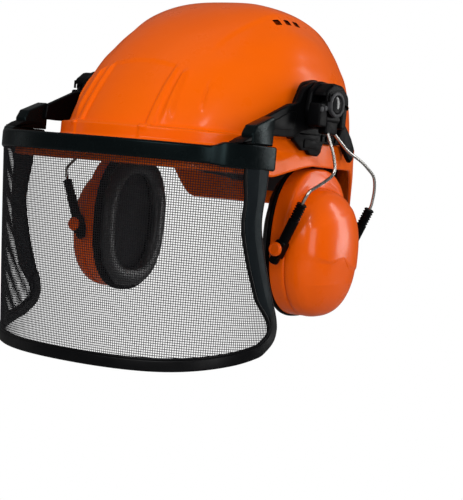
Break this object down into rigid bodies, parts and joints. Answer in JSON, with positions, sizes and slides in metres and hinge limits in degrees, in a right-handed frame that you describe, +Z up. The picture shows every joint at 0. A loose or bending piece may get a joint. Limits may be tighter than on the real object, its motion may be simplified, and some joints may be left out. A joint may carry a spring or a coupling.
{
  "type": "hard hat",
  "caption": "Forestry hard hat with a tilting mesh visor, two sprung earmuffs on side hubs and a ratchet headband.",
  "frame": {"origin": "middle of the head opening on the wearer's mid-plane, level with the foot of the forehead band", "axes": "+Z up through the crown, the wearer faces -Y, +X to the wearer's left"},
  "size_m": [0.2636, 0.2829, 0.2814],
  "materials": {
    "shell_orange": "glossy moulded ABS",
    "cup_orange": "satin-gloss moulded ABS",
    "black_plastic": "matt moulded plastic",
    "slate_plastic": "fine-textured moulded plastic",
    "binding_black": "soft extruded edging",
    "mesh_black": "black-coated woven wire",
    "wire_steel": "bright spring steel",
    "cushion_black": "soft PVC skin",
    "foam_dark": "open-cell foam",
    "harness_plastic": "moulded polyethylene",
    "strap_textile": "woven polyester webbing",
    "sweatband_leather": "perforated leather"
  },
  "bodies": {
    "helmet": {"shell": "shell_orange", "headband": "harness_plastic", "sweatband": "sweatband_leather", "cradle_strap_1": "strap_textile", "cradle_strap_2": "strap_textile", "harness_hooks": "harness_plastic", "ratchet_housing": "black_plastic", "side_adapter_left": "black_plastic", "side_adapter_right": "black_plastic", "hub_pin_left": "wire_steel", "hub_pin_right": "wire_steel"},
    "visor": {"visor_bar": "slate_plastic", "visor_mesh": "mesh_black", "visor_hem_binding": "binding_black", "visor_side_strip_left": "slate_plastic", "visor_side_strip_right": "slate_plastic", "visor_end_block_left": "slate_plastic", "visor_end_block_right": "slate_plastic", "visor_arm_left": "slate_plastic", "visor_arm_right": "slate_plastic"},
    "fit_knob": {"ratchet_knob": "black_plastic", "ratchet_pinion": "black_plastic"},
    "rack_left": {"rack_strip_left": "harness_plastic"},
    "rack_right": {"rack_strip_right": "harness_plastic"},
    "hub_left": {"hub_housing_left": "black_plastic", "hub_cap_left": "black_plastic"},
    "yoke_left": {"yoke_block_left": "black_plastic", "wire_front_left": "wire_steel", "wire_rear_left": "wire_steel"},
    "slider_left": {"sleeve_front_left": "black_plastic", "sleeve_rear_left": "black_plastic", "pivot_button_front_left": "cup_orange", "pivot_button_rear_left": "cup_orange"},
    "cup_left": {"cup_shell_left": "cup_orange", "cup_backplate_left": "black_plastic", "cup_cushion_left": "cushion_black", "cup_foam_left": "foam_dark"},
    "hub_right": {"hub_housing_right": "black_plastic", "hub_cap_right": "black_plastic"},
    "yoke_right": {"yoke_block_right": "black_plastic", "wire_front_right": "wire_steel", "wire_rear_right": "wire_steel"},
    "slider_right": {"sleeve_front_right": "black_plastic", "sleeve_rear_right": "black_plastic", "pivot_button_front_right": "cup_orange", "pivot_button_rear_right": "cup_orange"},
    "cup_right": {"cup_shell_right": "cup_orange", "cup_backplate_right": "black_plastic", "cup_cushion_right": "cushion_black", "cup_foam_right": "foam_dark"}
  },
  "joints": [
    {"name": "visor_tilt", "type": "hinge", "parent": "helmet", "child": "visor", "pos_m": [0, -0.015, 0.036], "axis": [-1, 0, 0], "range_deg": [0, 75]},
    {"name": "fit_knob_turn", "type": "hinge", "parent": "helmet", "child": "fit_knob", "pos_m": [0, 0.1044, -0.017], "axis": [0, 1, 0], "range_deg": [-110, 50]},
    {"name": "rack_left_slide", "type": "slide", "parent": "helmet", "child": "rack_left", "axis": [1, 0, 0], "range_m": [-0.008, 0.0036]},
    {"name": "rack_right_slide", "type": "slide", "parent": "helmet", "child": "rack_right", "axis": [-1, 0, 0], "range_m": [-0.008, 0.0036]},
    {"name": "hub_turn_left", "type": "hinge", "parent": "helmet", "child": "hub_left", "pos_m": [0.12, -0.015, 0.036], "axis": [1, 0, 0], "range_deg": [-5, 3.5]},
    {"name": "wires_swing_out_left", "type": "hinge", "parent": "hub_left", "child": "yoke_left", "pos_m": [0.123, -0.015, 0.026], "axis": [0, -1, 0], "range_deg": [0, 30]},
    {"name": "cup_height_left", "type": "slide", "parent": "yoke_left", "child": "slider_left", "axis": [0.43, 0, 0.9028], "range_m": [-0.02, 0.002]},
    {"name": "cup_tilt_left", "type": "hinge", "parent": "slider_left", "child": "cup_left", "pos_m": [0.104, 0.01, -0.074], "axis": [0, 1, 0], "range_deg": [-6, 6]},
    {"name": "hub_turn_right", "type": "hinge", "parent": "helmet", "child": "hub_right", "pos_m": [-0.12, -0.015, 0.036], "axis": [1, 0, 0], "range_deg": [-5, 3.5]},
    {"name": "wires_swing_out_right", "type": "hinge", "parent": "hub_right", "child": "yoke_right", "pos_m": [-0.123, -0.015, 0.026], "axis": [0, 1, 0], "range_deg": [0, 30]},
    {"name": "cup_height_right", "type": "slide", "parent": "yoke_right", "child": "slider_right", "axis": [-0.43, 0, 0.9028], "range_m": [-0.02, 0.002]},
    {"name": "cup_tilt_right", "type": "hinge", "parent": "slider_right", "child": "cup_right", "pos_m": [-0.104, 0.01, -0.074], "axis": [0, 1, 0], "range_deg": [-6, 6]}
  ],
  "couplings": [
    {"joint": "rack_left_slide", "follows": "fit_knob_turn", "m_per_rad": 0.004},
    {"joint": "rack_right_slide", "follows": "fit_knob_turn", "m_per_rad": 0.004}
  ]
}
